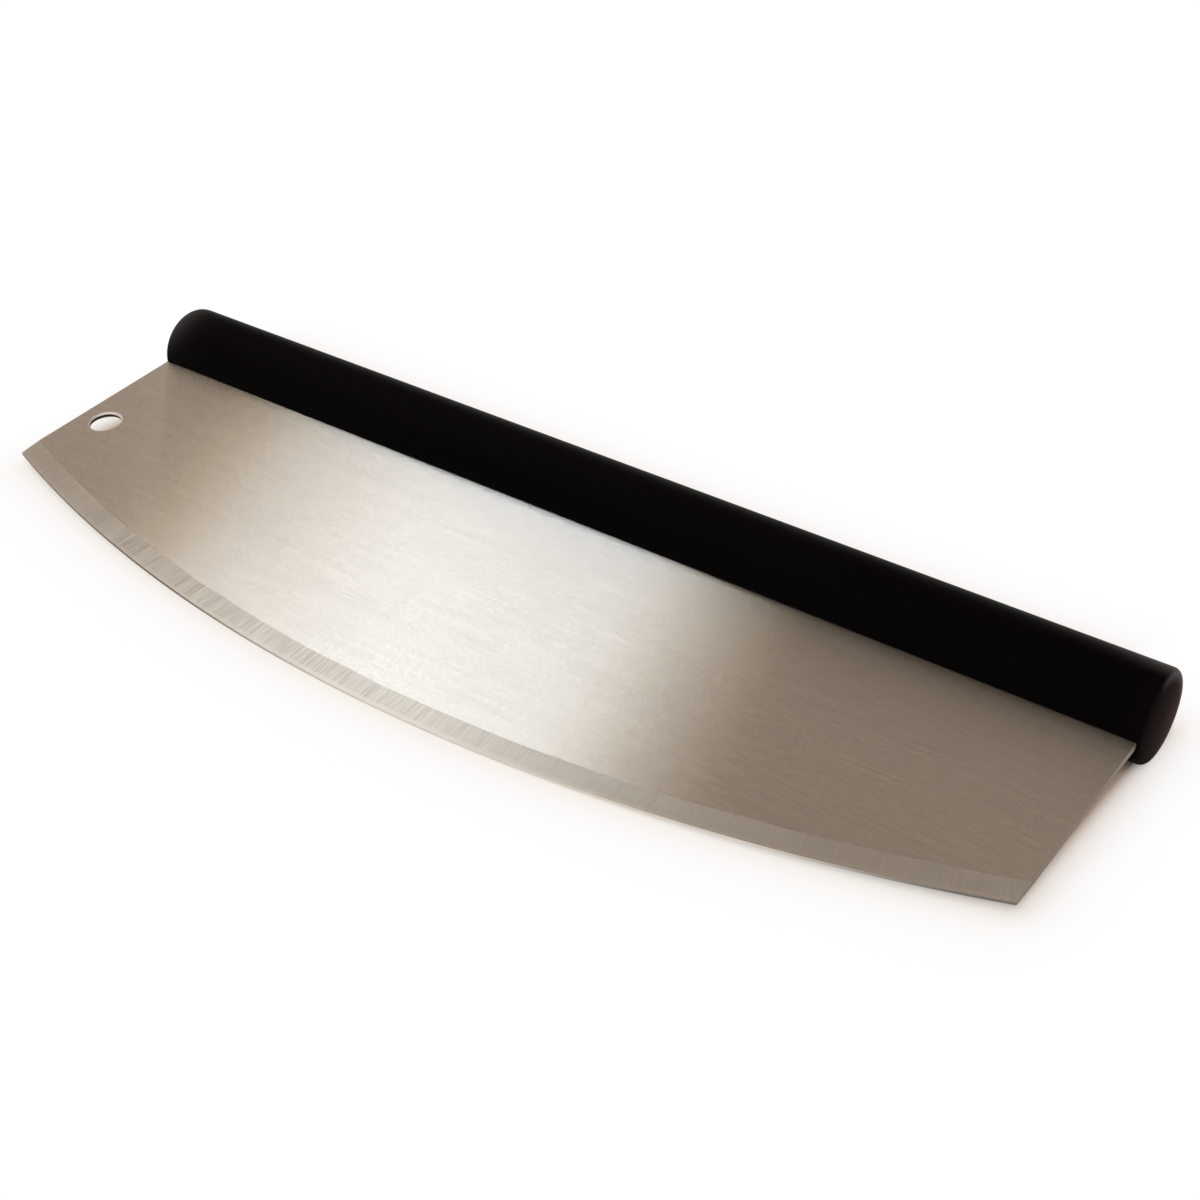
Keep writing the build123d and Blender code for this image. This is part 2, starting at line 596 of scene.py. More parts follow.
@dataclass(frozen=True, kw_only=True)
class MouldedPlastic(Finish):
    """Matt black moulded plastic with a fine even grain."""

    colour: Colour = (0.0014, 0.0010, 0.0009)
    pale_share: float = 1.5
    roughness: float = 0.45
    gloss: float = 0.012
    grain: Grain = Grain((0.28, 0.28, 0.28), 3.0, 2.2)
    grain_depth: float = 0.012
    grain_roughness: float = 0.04
    wear: Grain = Grain((45.0, 12.0, 12.0), 3.0, 9.4)
    wear_roughness: float = 0.05
    radius: float = GRIP_RADIUS
    end: float = GRIP_END
    # Painted sheen towards the two ends: over the top at the left end, over the back at the right end
    left_sheen: float = 0.10
    left_fade: float = 0.33
    right_sheen: float = 0.30
    right_fade: float = 0.10
    rear_reach: float = 0.08
    sheen_colour: Colour = (1.0, 0.93, 0.88)

    @property
    def constants(self) -> dict[str, Any]:
        """How strongly the plastic reflects."""
        return {"Metallic": 0.0, "Specular IOR Level": self.gloss}

    def patterns(self, graph: ShaderGraph) -> dict[Socket, Wire]:
        """Fine grain, slow random changes of tone, and a painted sheen towards the ends.

        Args:
            graph: The material's graph.

        Returns:
            The wires for colour, roughness and normal.
        """
        place = graph.place()
        grain = graph.noise(place, self.grain)
        wear = graph.noise(place, self.wear)
        colour = graph.mix_colours(wear, self.colour, scaled(self.colour, self.pale_share))
        changes = graph.swing(wear, self.wear_roughness) + graph.swing(grain, self.grain_roughness)
        return {
            Socket.BASE_COLOUR: self.toward_ends(graph, place, colour),
            Socket.ROUGHNESS: self.roughness + changes,
            Socket.NORMAL: graph.bump(grain, self.grain_depth),
        }

    def toward_ends(self, graph: ShaderGraph, place: Wire, colour: Wire) -> Wire:
        """Paints a sheen on the plastic towards the handle's two ends: over the top at the left end and
        over the back at the right.

        Args:
            graph: The material's graph.
            place: The place on the handle.
            colour: The plastic's own colour.

        Returns:
            The colour with the painted sheen.
        """
        along, back, up = graph.split(place)
        top = graph.math("MAXIMUM", up / self.radius, 0.0)
        rear = graph.math("MAXIMUM", back / self.radius + self.rear_reach, 0.0)
        left = graph.math("EXPONENT", (along + self.end) * -self.left_fade) * self.left_sheen
        right = graph.math("EXPONENT", (along - self.end) * self.right_fade) * self.right_sheen
        # Adds the painted sheen, lighter on the top at the left end and on the back at the right end,
        # where light catches the handle
        return colour + graph.grey(left * top * top + right * rear * rear) * self.sheen_colour


@dataclass(frozen=True, kw_only=True)
class CapPlastic(MouldedPlastic):
    """The caps' plastic, with painted light on their end faces and a painted highlight round their rim.
    """

    colour: Colour = (0.0022, 0.0014, 0.0012)
    roughness: float = 0.48
    gloss: float = 0.008
    face_from: float = 174.3
    face_to: float = 174.7
    # Painted light on the end faces, and a painted highlight round their rim at the back
    face_light_colour: Colour = (0.0245, 0.0185, 0.0180)
    face_roughness: float = 0.95
    face_light_back: float = 0.08
    face_light_down: float = 0.055
    rim_highlight_colour: Colour = (0.17, 0.17, 0.21)
    rim_radius: float = 9.6
    rim_reach: float = 0.25

    def patterns(self, graph: ShaderGraph) -> dict[Socket, Wire]:
        """Makes the faces rougher than the sides.

        Args:
            graph: The material's graph.

        Returns:
            The wires for colour, roughness and normal.
        """
        made = super().patterns(graph)
        share = self.face_share(graph, graph.place())
        made[Socket.ROUGHNESS] = made[Socket.ROUGHNESS] * (1.0 - share) + share * self.face_roughness
        return made

    def face_share(self, graph: ShaderGraph, place: Wire) -> Wire:
        """Gives 1 on the cap's end face and 0 on its side."""
        along, _, _ = graph.split(place)
        return graph.ramp(graph.math("ABSOLUTE", along), self.face_from, self.face_to)

    def toward_ends(self, graph: ShaderGraph, place: Wire, colour: Wire) -> Wire:
        """Paints light on the end faces, stronger towards the back and the bottom, and a highlight round
        their rim at the back; the sides keep the painted sheen.

        Args:
            graph: The material's graph.
            place: The place on the cap.
            colour: The plastic's own colour.

        Returns:
            The colour with the painted light.
        """
        _, back, up = graph.split(place)
        # Painted light on the face: stronger towards the back and the bottom
        face_light = graph.math("EXPONENT", back * self.face_light_back - up * self.face_light_down)
        # Painted highlight round the face's rim, strongest at the back
        away = graph.math("SQRT", back * back + up * up)
        rear = graph.math("MAXIMUM", back / self.radius + self.rim_reach, 0.0)
        rim_highlight = graph.ramp(away, self.rim_radius, self.radius) * rear
        face = graph.grey(face_light) * self.face_light_colour + graph.grey(rim_highlight) * self.rim_highlight_colour
        share = self.face_share(graph, place)
        side = super().toward_ends(graph, place, colour)
        return side * (1.0 - share) + face * share


@dataclass(frozen=True)
class RivetAluminium(Finish):
    """Soft aluminium with small dents and dull spots."""

    colour: Colour = (0.80, 0.80, 0.79)
    dull_share: float = 0.85
    roughness: float = 0.34
    roughness_change: float = 0.1
    dents: Grain = Grain((0.8, 0.8, 0.8), 2.0, 1.9)
    dent_depth: float = 0.02

    def patterns(self, graph: ShaderGraph) -> dict[Socket, Wire]:
        """Small dents, each duller at its bottom.

        Args:
            graph: The material's graph.

        Returns:
            The wires for colour, roughness and normal.
        """
        dents = graph.noise(graph.place(), self.dents)
        dark_tint = scaled(self.colour, self.dull_share)
        return {
            Socket.BASE_COLOUR: graph.mix_colours(dents, dark_tint, self.colour),
            Socket.ROUGHNESS: self.roughness + graph.swing(dents, self.roughness_change),
            Socket.NORMAL: graph.bump(dents, self.dent_depth),
        }


# Meshes


def add_object(name: str, data: bpy.types.ID) -> bpy.types.Object:
    """Makes an object and links it to the scene.

    Args:
        name: The object's name.
        data: Its mesh, lamp or camera.

    Returns:
        The object.
    """
    made = bpy.data.objects.new(name, data)
    bpy.context.scene.collection.objects.link(made)
    return made


def circle(radius: float, segments: int) -> list[Point2]:
    """Gives evenly spaced points round a circle."""
    angles = (2 * math.pi * step / segments for step in range(segments))
    return [(radius * math.cos(a), radius * math.sin(a)) for a in angles]


def quarter_turn(steps: int) -> list[float]:
    """Gives evenly spaced angles from 0 to a right angle, in radians."""
    return [math.radians(90 * step / steps) for step in range(steps + 1)]


class Workshop:
    """Ways to make meshes, with sizes in millimetres in the knife's own position."""

    CORNER_SEGMENTS = 3
    CORNER_ANGLE = 30.0

    @staticmethod
    def finish_mesh(name: str, shape: bmesh.types.BMesh) -> bpy.types.Object:
        """Turns a shape in millimetres into an object with a mesh in metres.

        Args:
            name: The object's name.
            shape: The shape, which is freed.

        Returns:
            The object, linked to the scene.
        """
        bmesh.ops.recalc_face_normals(shape, faces=shape.faces[:])
        bmesh.ops.scale(shape, vec=(MM, MM, MM), verts=shape.verts[:])
        mesh = bpy.data.meshes.new(name)
        shape.to_mesh(mesh)
        shape.free()
        return add_object(name, mesh)

    @staticmethod
    def turned(name: str, profile: Sequence[Point2], segments: int) -> bpy.types.Object:
        """Turns a profile about the X axis. Its two ends are on the axis.

        Args:
            name: The object's name.
            profile: Places along X, each with its radius.
            segments: How many sides the turned shape has.

        Returns:
            The object.
        """
        shape = bmesh.new()
        rings: list[list[bmesh.types.BMVert]] = []
        for x, radius in profile:
            points = circle(radius, segments) if radius else [(0, 0)]
            rings.append([shape.verts.new((x, y, z)) for y, z in points])
        for first, second in zip(rings, rings[1:]):
            for step in range(segments):
                after = (step + 1) % segments
                corners = [first[step % len(first)], first[after % len(first)]]
                corners += [second[after % len(second)], second[step % len(second)]]
                shape.faces.new(dict.fromkeys(corners))
        return Workshop.finish_mesh(name, shape)

    @staticmethod
    def drawn(name: str, section: Sequence[Point2], start: float, end: float) -> bpy.types.Object:
        """Draws a section out along the X axis.

        Args:
            name: The object's name.
            section: The closed section's points, as y and z.
            start: Where it starts along X.
            end: Where it ends along X.

        Returns:
            The object.
        """
        shape = bmesh.new()
        rings = [[shape.verts.new((x, y, z)) for y, z in section] for x in (start, end)]
        for index in range(len(section)):
            after = (index + 1) % len(section)
            shape.faces.new((rings[0][index], rings[0][after], rings[1][after], rings[1][index]))
        shape.faces.new(rings[0])
        shape.faces.new(rings[1])
        return Workshop.finish_mesh(name, shape)

    @staticmethod
    def cut(target: bpy.types.Object, cutter: bpy.types.Object) -> None:
        """Cuts one object by another, which is then removed.

        Args:
            target: The object that is cut.
            cutter: The cutting object.
        """
        modifier = target.modifiers.new("cut", "BOOLEAN")
        modifier.operation = "DIFFERENCE"
        modifier.solver = "EXACT"
        modifier.material_mode = "INDEX"
        modifier.object = cutter
        Workshop.apply(target)
        bpy.data.objects.remove(cutter)

    @staticmethod
    def soften(target: bpy.types.Object, width: float) -> None:
        """Takes the sharpness off an object's corners.

        Args:
            target: The object.
            width: How wide the rounding is, in millimetres.
        """
        modifier = target.modifiers.new("soften", "BEVEL")
        modifier.width = width * MM
        modifier.segments = Workshop.CORNER_SEGMENTS
        modifier.limit_method = "ANGLE"
        modifier.angle_limit = math.radians(Workshop.CORNER_ANGLE)
        modifier.use_clamp_overlap = True
        Workshop.apply(target)

    @staticmethod
    def apply(target: bpy.types.Object) -> None:
        """Keeps the result of an object's modifiers as its mesh.

        Args:
            target: The object.
        """
        graph = bpy.context.evaluated_depsgraph_get()
        graph.update()
        result = bpy.data.meshes.new_from_object(target.evaluated_get(graph))
        old = target.data
        target.modifiers.clear()
        target.data = result
        bpy.data.meshes.remove(old)

    @staticmethod
    def shade(target: bpy.types.Object, angle: float) -> None:
        """Shades an object smoothly, with sharp lines at its corners and where its material changes.

        Args:
            target: The object.
            angle: The smallest angle that stays sharp, in degrees.
        """
        shape = bmesh.new()
        shape.from_mesh(target.data)
        for face in shape.faces:
            face.smooth = True
        for edge in shape.edges:
            faces = edge.link_faces
            turn = edge.calc_face_angle(0.0)
            differ = len({face.material_index for face in faces}) > 1
            edge.smooth = turn < math.radians(angle) and not differ
        shape.to_mesh(target.data)
        shape.free()


# The knife


@dataclass(frozen=True)
class KnifeLie:
    """How the knife lies on its side: on the handle's underside and the deepest point of the edge."""

    grip_radius: float = GRIP_RADIUS
    edge_drop: float = EDGE_DROP
    land_half: float = LAND_HALF

    def matrix(self) -> Matrix:
        """Works out the move from the knife's own position to where it lies.

        Returns:
            The move, in metres.
        """
        reach = math.hypot(self.edge_drop, self.land_half)
        angle = math.asin(self.grip_radius / reach) - math.atan(self.land_half / self.edge_drop)
        edge_reach = self.edge_drop * math.cos(angle) + self.land_half * math.sin(angle)
        shift = (edge_reach - self.grip_radius) / 2
        move = Matrix.Translation((0, shift * MM, self.grip_radius * MM))
        return move @ Matrix.Rotation(angle, 4, "X")


@dataclass(frozen=True)
class Piece(ABC):
    """A sub-assembly that is built, dressed and put in its place."""

    lie: KnifeLie

    def settle(self, made: bpy.types.Object, slot: str, *nodes: str) -> bpy.types.Object:
        """Lays a piece down with the knife and lets it stand for its solids.

        Args:
            made: The piece, in the knife's own position.
            slot: Not used.
            nodes: The solids that it stands for.

        Returns:
            The piece.
        """
        made.matrix_world = self.lie.matrix()
        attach(made, "root")
        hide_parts(*nodes)
        log.info("%s: %d faces, for %s", made.name, len(made.data.polygons), ", ".join(nodes))
        return made

    @abstractmethod
    def build(self) -> bpy.types.Object:
        """Builds, dresses and settles the piece."""


@dataclass(frozen=True)
class Blade(Piece):
    """The steel blade: brushed faces, a ground edge, a hanging hole and a tang with rivet holes."""

    half_length: float = 173.75
    face: float = 1.0
    edge_drop: float = EDGE_DROP
    edge_belly: float = 29.6
    bevel_width: float = 6.9
    bevel_wave: float = 0.075
    wave_length: float = 41.0
    waves: tuple[Point3, ...] = ((1.0, 1.0, 0.7), (0.6, 1.71, 2.1), (0.35, 3.3, 0.0))
    final_grind_width: float = 1.2
    final_grind_half: float = 0.555
    land_half: float = LAND_HALF
    tang_top: float = 7.05
    tang_end: float = 162.6
    tang_corner: float = 3.0
    corner_steps: int = 6
    corner_gap: float = 4.0
    shoulder_top: float = -9.8
    hole_inset: float = 10.0
    hole_drop: float = 50.0
    hole_radius: float = 5.0
    hole_chamfer: float = 0.6
    hole_segments: int = 180
    rivet_last: float = 140.0
    rivet_count: int = 5
    rivet_hole_radius: float = 2.1
    rivet_hole_segments: int = 48
    cutter_past: float = 2.0
    corner_width: float = 0.18
    sharp_angle: float = 3.0
    columns: int = 280
    far_centre: Point3 = (1000.0, 0.0, 0.0)

    @property
    def edge_radius(self) -> float:
        """The radius of the cutting edge's arc."""
        return (self.half_length**2 + self.edge_belly**2) / (2 * self.edge_belly)

    @property
    def edge_centre(self) -> float:
        """How high the centre of the edge's arc is."""
        return self.edge_radius - self.edge_drop

    def arc_height(self, x: float, radius: float) -> float:
        """Gives the height of an arc about the edge's centre, at a place along the blade."""
        return self.edge_centre - math.sqrt(radius**2 - x**2)

    def wave(self, x: float) -> float:
        """Gives how far hand grinding widens the ground band at a place along the blade.

        Args:
            x: The place along the blade.

        Returns:
            The change in the band's width.
        """
        turn = 2 * math.pi * x / self.wave_length
        swells = (size * math.sin(rate * turn + shift) for size, rate, shift in self.waves)
        return self.bevel_wave * sum(swells)

    def top_at(self, x: float) -> float:
        """Gives the height of the tang's top, with its rounded corners.

        Args:
            x: The place along the blade.

        Returns:
            The height there.
        """
        past = abs(x) - (self.tang_end - self.tang_corner)
        if past <= 0:
            return self.tang_top
        drop = self.tang_corner - math.sqrt(max(self.tang_corner**2 - past**2, 0))
        return self.tang_top - drop

    def column_places(self) -> list[float]:
        """Gives the places along the blade at which its outline has a point.

        Returns:
            The places, from left to right.
        """
        even = [self.half_length * (2 * step / self.columns - 1) for step in range(self.columns + 1)]
        even = [x for x in even if not 0 < abs(x) - self.tang_end + self.tang_corner < self.corner_gap]
        turns = quarter_turn(self.corner_steps)
        corner = [self.tang_end - self.tang_corner * (1 - math.sin(turn)) for turn in turns]
        return sorted({*even, *corner, *(-x for x in corner)})

    def profile_at(self, x: float) -> list[Point2]:
        """Gives the front face's height and half thickness at a place, from the top down.

        Args:
            x: The place along the blade.

        Returns:
            Each row's y and z.
        """
        bevel_top = self.edge_radius - self.bevel_width + self.wave(x)
        final_top = self.edge_radius - self.final_grind_width
        return [
            (self.top_at(x), self.face),
            (self.shoulder_top, self.face),
            (self.arc_height(x, bevel_top), self.face),
            (self.arc_height(x, final_top), self.final_grind_half),
            (self.arc_height(x, self.edge_radius), self.land_half),
        ]

    def plate(self) -> bpy.types.Object:
        """Makes the solid plate with its ground edge.

        Returns:
            The plate.
        """
        shape = bmesh.new()
        zones = [BladeZone.FLAT, BladeZone.FLAT, BladeZone.BEVEL, BladeZone.FINAL_GRIND]
        twins: dict[bmesh.types.BMVert, bmesh.types.BMVert] = {}
        columns: list[list[bmesh.types.BMVert | None]] = []
        for x in self.column_places():
            column = []
            for row, (y, z) in enumerate(self.profile_at(x)):
                if row == 0 and abs(x) > self.tang_end:
                    column.append(None)
                    continue
                vert = shape.verts.new((x, y, z))
                twins[vert] = shape.verts.new((x, y, -z))
                column.append(vert)
            columns.append(column)
        for first, second in zip(columns, columns[1:]):
            for row, zone in enumerate(zones):
                corners = [first[row], first[row + 1], second[row + 1], second[row]]
                if None in corners:
                    continue
                front = shape.faces.new(corners)
                back = shape.faces.new([twins[vert] for vert in reversed(corners)])
                front.material_index = back.material_index = zone.value
        self._close_rim(shape, twins, {column[-1] for column in columns})
        return Workshop.finish_mesh("blade_plate", shape)

    @staticmethod
    def _close_rim(
        shape: bmesh.types.BMesh,
        twins: dict[bmesh.types.BMVert, bmesh.types.BMVert],
        lowest: set[bmesh.types.BMVert],
    ) -> None:
        """Closes the plate between its front and its back.

        Args:
            shape: The two faces.
            twins: The back's point for each point of the front.
            lowest: The front's points along the cutting edge.
        """
        shape.edges.ensure_lookup_table()
        rim = [edge for edge in shape.edges if edge.is_boundary and edge.verts[0] in twins]
        for edge in rim:
            first, second = edge.verts
            wall = shape.faces.new((first, second, twins[second], twins[first]))
            on_edge = first in lowest and second in lowest
            zone = BladeZone.LAND if on_edge else BladeZone.CUT_EDGE
            wall.material_index = zone.value

    def hole_cutter(self) -> bpy.types.Object:
        """Makes the cutter for the hanging hole and its countersinks.

        Returns:
            The cutter, on the blade.
        """
        inner = self.face - self.hole_chamfer
        beyond = self.face + self.cutter_past
        wide = self.hole_radius + self.hole_chamfer + self.cutter_past
        profile = [(-beyond, 0.0), (-beyond, wide), (-inner, self.hole_radius)]
        profile += [(-x, radius) for x, radius in reversed(profile)]
        cutter = Workshop.turned("hole_cutter", profile, self.hole_segments)
        self._stand(cutter, self.hole_inset - self.half_length, -self.hole_drop)
        slant = math.sqrt(0.5)
        for polygon in cutter.data.polygons:
            if math.isclose(abs(polygon.normal.z), slant, rel_tol=0.1):
                polygon.material_index = BladeZone.COUNTERSINK.value
        return cutter

    def rivet_cutters(self) -> Iterable[bpy.types.Object]:
        """Makes the cutters for the holes in the tang, one by one.

        Returns:
            The cutters.
        """
        beyond = self.face + self.cutter_past
        radius = self.rivet_hole_radius
        profile = [(-beyond, 0.0), (-beyond, radius), (beyond, radius), (beyond, 0.0)]
        for number in range(self.rivet_count):
            x = self.rivet_last * (2 * number / (self.rivet_count - 1) - 1)
            yield self._stand(Workshop.turned("rivet_cutter", profile, self.rivet_hole_segments), x, 0.0)

    @staticmethod
    def _stand(cutter: bpy.types.Object, x: float, y: float) -> bpy.types.Object:
        """Stands a turned cutter square to the blade.

        Args:
            cutter: The cutter, along X.
            x: Its place along the blade.
            y: Its height on the blade.

        Returns:
            The cutter.
        """
        move = Matrix.Translation((x * MM, y * MM, 0)) @ Matrix.Rotation(math.radians(90), 4, "Y")
        cutter.data.transform(move)
        for polygon in cutter.data.polygons:
            polygon.material_index = BladeZone.HOLE.value
        return cutter

    def finishes(self) -> dict[BladeZone, Finish]:
        """Gives the finish of each zone.

        Returns:
            The finishes, in the order of the slots.
        """
        bevel = GroundSteel("steel_bevel", edge_radius=self.edge_radius, edge_centre=self.edge_centre)
        final_grind = replace(
            bevel, name="steel_final_grind", lean=0.205, colour=(0.71, 0.685, 0.635), colour_change=0.08
        )
        return {
            BladeZone.FLAT: BrushedSteel("steel_brushed"),
            BladeZone.BEVEL: bevel,
            BladeZone.FINAL_GRIND: final_grind,
            BladeZone.LAND: HonedSteel("steel_land", (0.80, 0.75, 0.69), 0.34),
            # The cut end's and the hole wall's dark warm colours are painted shade, standing for the
            # shadowed floor that these walls reflect
            BladeZone.CUT_EDGE: CutSteel("steel_cut", (0.205, 0.155, 0.120), 0.42),
            BladeZone.HOLE: CutSteel("steel_hole", (0.10, 0.085, 0.07), 0.45),
            BladeZone.COUNTERSINK: CutSteel("steel_countersink", (0.80, 0.76, 0.73), 0.75),
        }

    def build(self) -> bpy.types.Object:
        """Builds the blade, drills it, softens its corners and dresses each zone.

        Returns:
            The blade.
        """
        blade = self.plate()
        for finish in self.finishes().values():
            blade.data.materials.append(finish.material())
        Workshop.cut(blade, self.hole_cutter())
        for cutter in self.rivet_cutters():
            Workshop.cut(blade, cutter)
        Workshop.soften(blade, self.corner_width)
        Workshop.shade(blade, self.sharp_angle)
        # Long reflections turn about the texture space's centre: far off, it keeps them parallel
        blade.data.use_auto_texspace = False
        blade.data.texspace_location = self.far_centre
        blade.data.texspace_size = (1.0, 1.0, 1.0)
        return self.settle(blade, "blade_steel", "blade")


@dataclass(frozen=True)
class GripSleeve(Piece):
    """The black tube that is the grip's outside, open along its underside for the blade."""

    radius: float = GRIP_RADIUS
    bore_radius: float = 9.7
    half_length: float = CAP_SEAT
    slot_half: float = SLOT_HALF
    lip_round: float = 0.25
    lip_share: float = 0.3
    sharp_angle: float = GRIP_SHARP
    segments: int = GRIP_SEGMENTS

    def arc(self, radius: float, inset: float) -> list[Point2]:
        """Gives the points of one of the section's arcs, from one side of the slot round to the other.

        Args:
            radius: The arc's radius.
            inset: How far from the slot's wall the arc starts.

        Returns:
            The points as y and z.
        """
        gap = math.asin((self.slot_half + inset) / radius)
        end = 2 * math.pi - gap
        steps = (2 * math.pi * step / self.segments for step in range(1, self.segments))
        angles = [gap, *(angle for angle in steps if gap < angle < end), end]
        return [(-radius * math.cos(a), -radius * math.sin(a)) for a in angles]

    def section(self) -> list[Point2]:
        """Gives the closed section of the tube, with rounded lips at its slot.

        Returns:
            The points as y and z.
        """
        outer = self.arc(self.radius, self.lip_round)
        inner = self.arc(self.bore_radius, 0.0)
        lip_top = -math.sqrt(self.radius**2 - self.slot_half**2) + self.lip_round
        middle_y = lip_top - (1 - self.lip_share) * self.lip_round
        middle_z = self.slot_half + self.lip_share * self.lip_round
        upper = [(middle_y, middle_z), (lip_top, self.slot_half)]
        lower = [(y, -z) for y, z in reversed(upper)]
        return [*outer, *upper, *reversed(inner), *lower]

    def build(self) -> bpy.types.Object:
        """Builds and dresses the tube.

        Returns:
            The tube.
        """
        sleeve = Workshop.drawn("sleeve_tube", self.section(), -self.half_length, self.half_length)
        sleeve.data.materials.append(MouldedPlastic("plastic_grip").material())
        Workshop.shade(sleeve, self.sharp_angle)
        return self.settle(sleeve, "grip_plastic", "grip_sleeve")


@dataclass(frozen=True)
class EndCap(Piece):
    """A moulded cap: a round-edged disc on a hollow spigot, with a dimple and a notch for the blade."""

    side: Side
    radius: float = GRIP_RADIUS
    seat: float = CAP_SEAT
    end: float = GRIP_END
    end_round: float = 2.0
    round_steps: int = 10
    spigot_radius: float = 9.65
    spigot_start: float = 163.0
    spigot_wall: float = 2.2
    lead_in: float = 0.6
    face_thickness: float = 2.5
    gate_radius: float = 1.5
    gate_depth: float = 0.4
    gate_round: float = 0.34
    notch_half: float = SLOT_HALF
    notch_end: float = 173.85
    notch_before: float = 0.5
    notch_past: float = 5.0
    support: float = 0.12
    sharp_angle: float = GRIP_SHARP
    segments: int = GRIP_SEGMENTS

    def profile(self) -> list[Point2]:
        """Gives the cap's turned profile, from the bottom of its hollow to the dimple in its face.

        Returns:
            Places along X with their radius.
        """
        bore = self.spigot_radius - self.spigot_wall
        bottom = self.end - self.face_thickness
        middle_x, middle_r = self.end - self.end_round, self.radius - self.end_round
        rounding = [
            (middle_x + self.end_round * math.sin(turn), middle_r + self.end_round * math.cos(turn))
            for turn in quarter_turn(self.round_steps)
        ]
        gate_floor = self.end - self.gate_depth
        return [
            (bottom, 0.0),
            (bottom, bore),
            (self.spigot_start, bore),
            (self.spigot_start, self.spigot_radius - self.lead_in),
            (self.spigot_start + self.lead_in, self.spigot_radius),
            (self.seat, self.spigot_radius),
            (self.seat, self.radius),
            (middle_x - self.support, self.radius),
            *rounding,
            (self.end, middle_r - self.support),
            (self.end, self.gate_radius + self.gate_round + self.support),
            (self.end, self.gate_radius + self.gate_round),
            (self.end - self.gate_round, self.gate_radius),
            (gate_floor, self.gate_radius),
            (gate_floor, 0.0),
        ]

    def notch_cutter(self) -> bpy.types.Object:
        """Makes the cutter for the notch that the blade's end sits in.

        Returns:
            The cutter.
        """
        low, high = -self.radius - self.notch_past, -self.spigot_radius
        half = self.notch_half
        section = [(low, -half), (high, -half), (high, half), (low, half)]
        return Workshop.drawn("notch_cutter", section, self.seat - self.notch_before, self.notch_end)

    def build(self) -> bpy.types.Object:
        """Builds, notches and dresses the cap.

        Returns:
            The cap.
        """
        name = self.side.value
        cap = Workshop.turned(f"cap_{name}_moulded", self.profile(), self.segments)
        Workshop.cut(cap, self.notch_cutter())
        if self.side is Side.LEFT:
            cap.data.transform(Matrix.Scale(-1, 4, (1, 0, 0)))
            cap.data.flip_normals()
        cap.data.materials.append(CapPlastic("plastic_cap").material())
        Workshop.shade(cap, self.sharp_angle)
        return self.settle(cap, "cap_plastic", f"end_cap_{name}")


@dataclass(frozen=True)
class HiddenCore:
    """The pieces inside the grip, whose solids are shown as they are: core halves and rivets."""

    core: Finish = MouldedPlastic(
        "plastic_core",
        colour=(0.018, 0.018, 0.019),
        roughness=0.5,
        gloss=0.35,
        grain=Grain((0.5, 0.5, 0.5), 3.0, 2.2),
        grain_depth=0.02,
    )
    rivet: Finish = RivetAluminium("rivet_aluminium")

    def dress(self, nodes: dict[str, bpy.types.Object]) -> None:
        """Gives each solid its finish.

        Args:
            nodes: The solids by name.
        """
        for name, node in nodes.items():
            if name.startswith("core"):
                self._dress_one(node, self.core, "core_plastic")
            elif name.startswith("tang_rivet"):
                self._dress_one(node, self.rivet, "rivet_metal")

    @staticmethod
    def _dress_one(node: bpy.types.Object, finish: Finish, slot: str) -> None:
        """Puts a finish in a solid's slots.

        Args:
            node: The solid.
            finish: Its finish.
            slot: Not used.
        """
        if not node.material_slots:
            node.data.materials.append(finish.material())
        for place in node.material_slots:
            place.material = finish.material()
        log.info("%s: dressed in %s", node.name, finish.name)


# The studio


@dataclass(frozen=True)
class Softbox:
    """A soft lamp: a bright rectangle that hangs at a point and looks at another."""

    name: str
    centre: Point3
    target: Point3
    width: float
    length: float
    brightness: float
    long_axis: Point3
    colour: Colour = (1.0, 1.0, 1.0)

    def hang(self) -> bpy.types.Object:
        """Hangs the lamp.

        Returns:
            The lamp.
        """
        data = bpy.data.lights.new(self.name, "AREA")
        data.shape = "RECTANGLE"
        data.size = self.width
        data.size_y = self.length
        data.color = self.colour
        data.energy = self.brightness * math.pi * self.width * self.length
        lamp = add_object(self.name, data)
        back = (Vector(self.centre) - Vector(self.target)).normalized()
        across = Vector(self.long_axis).cross(back).normalized()
        turn = Matrix((across, back.cross(across), back)).transposed().to_4x4()
        lamp.matrix_world = Matrix.Translation(self.centre) @ turn
        log.info("lamp %s", self.name)
        return lamp


@dataclass(frozen=True)
class Camera:
    """The camera, at the photograph's viewing angle."""

    place: Point3 = (0.29696, -0.35867, 0.30154)
    aim: Point3 = (0.01822, 0.01945, 0.0)
    roll: float = 0.882
    lens: float = 58.571
    sensor: float = 36.0
    nearest: float = 0.01

    def stand(self) -> bpy.types.Object:
        """Sets the camera up.

        Returns:
            The camera.
        """
        data = bpy.data.cameras.new("camera")
        data.sensor_width = self.sensor
        data.sensor_fit = "HORIZONTAL"
        data.lens = self.lens
        data.clip_start = self.nearest
        camera = add_object("camera", data)
        look = (Vector(self.aim) - Vector(self.place)).to_track_quat("-Z", "Y")
        turn = look @ Quaternion((0, 0, 1), math.radians(self.roll))
        camera.matrix_world = Matrix.Translation(self.place) @ turn.to_matrix().to_4x4()
        bpy.context.scene.camera = camera
        return camera


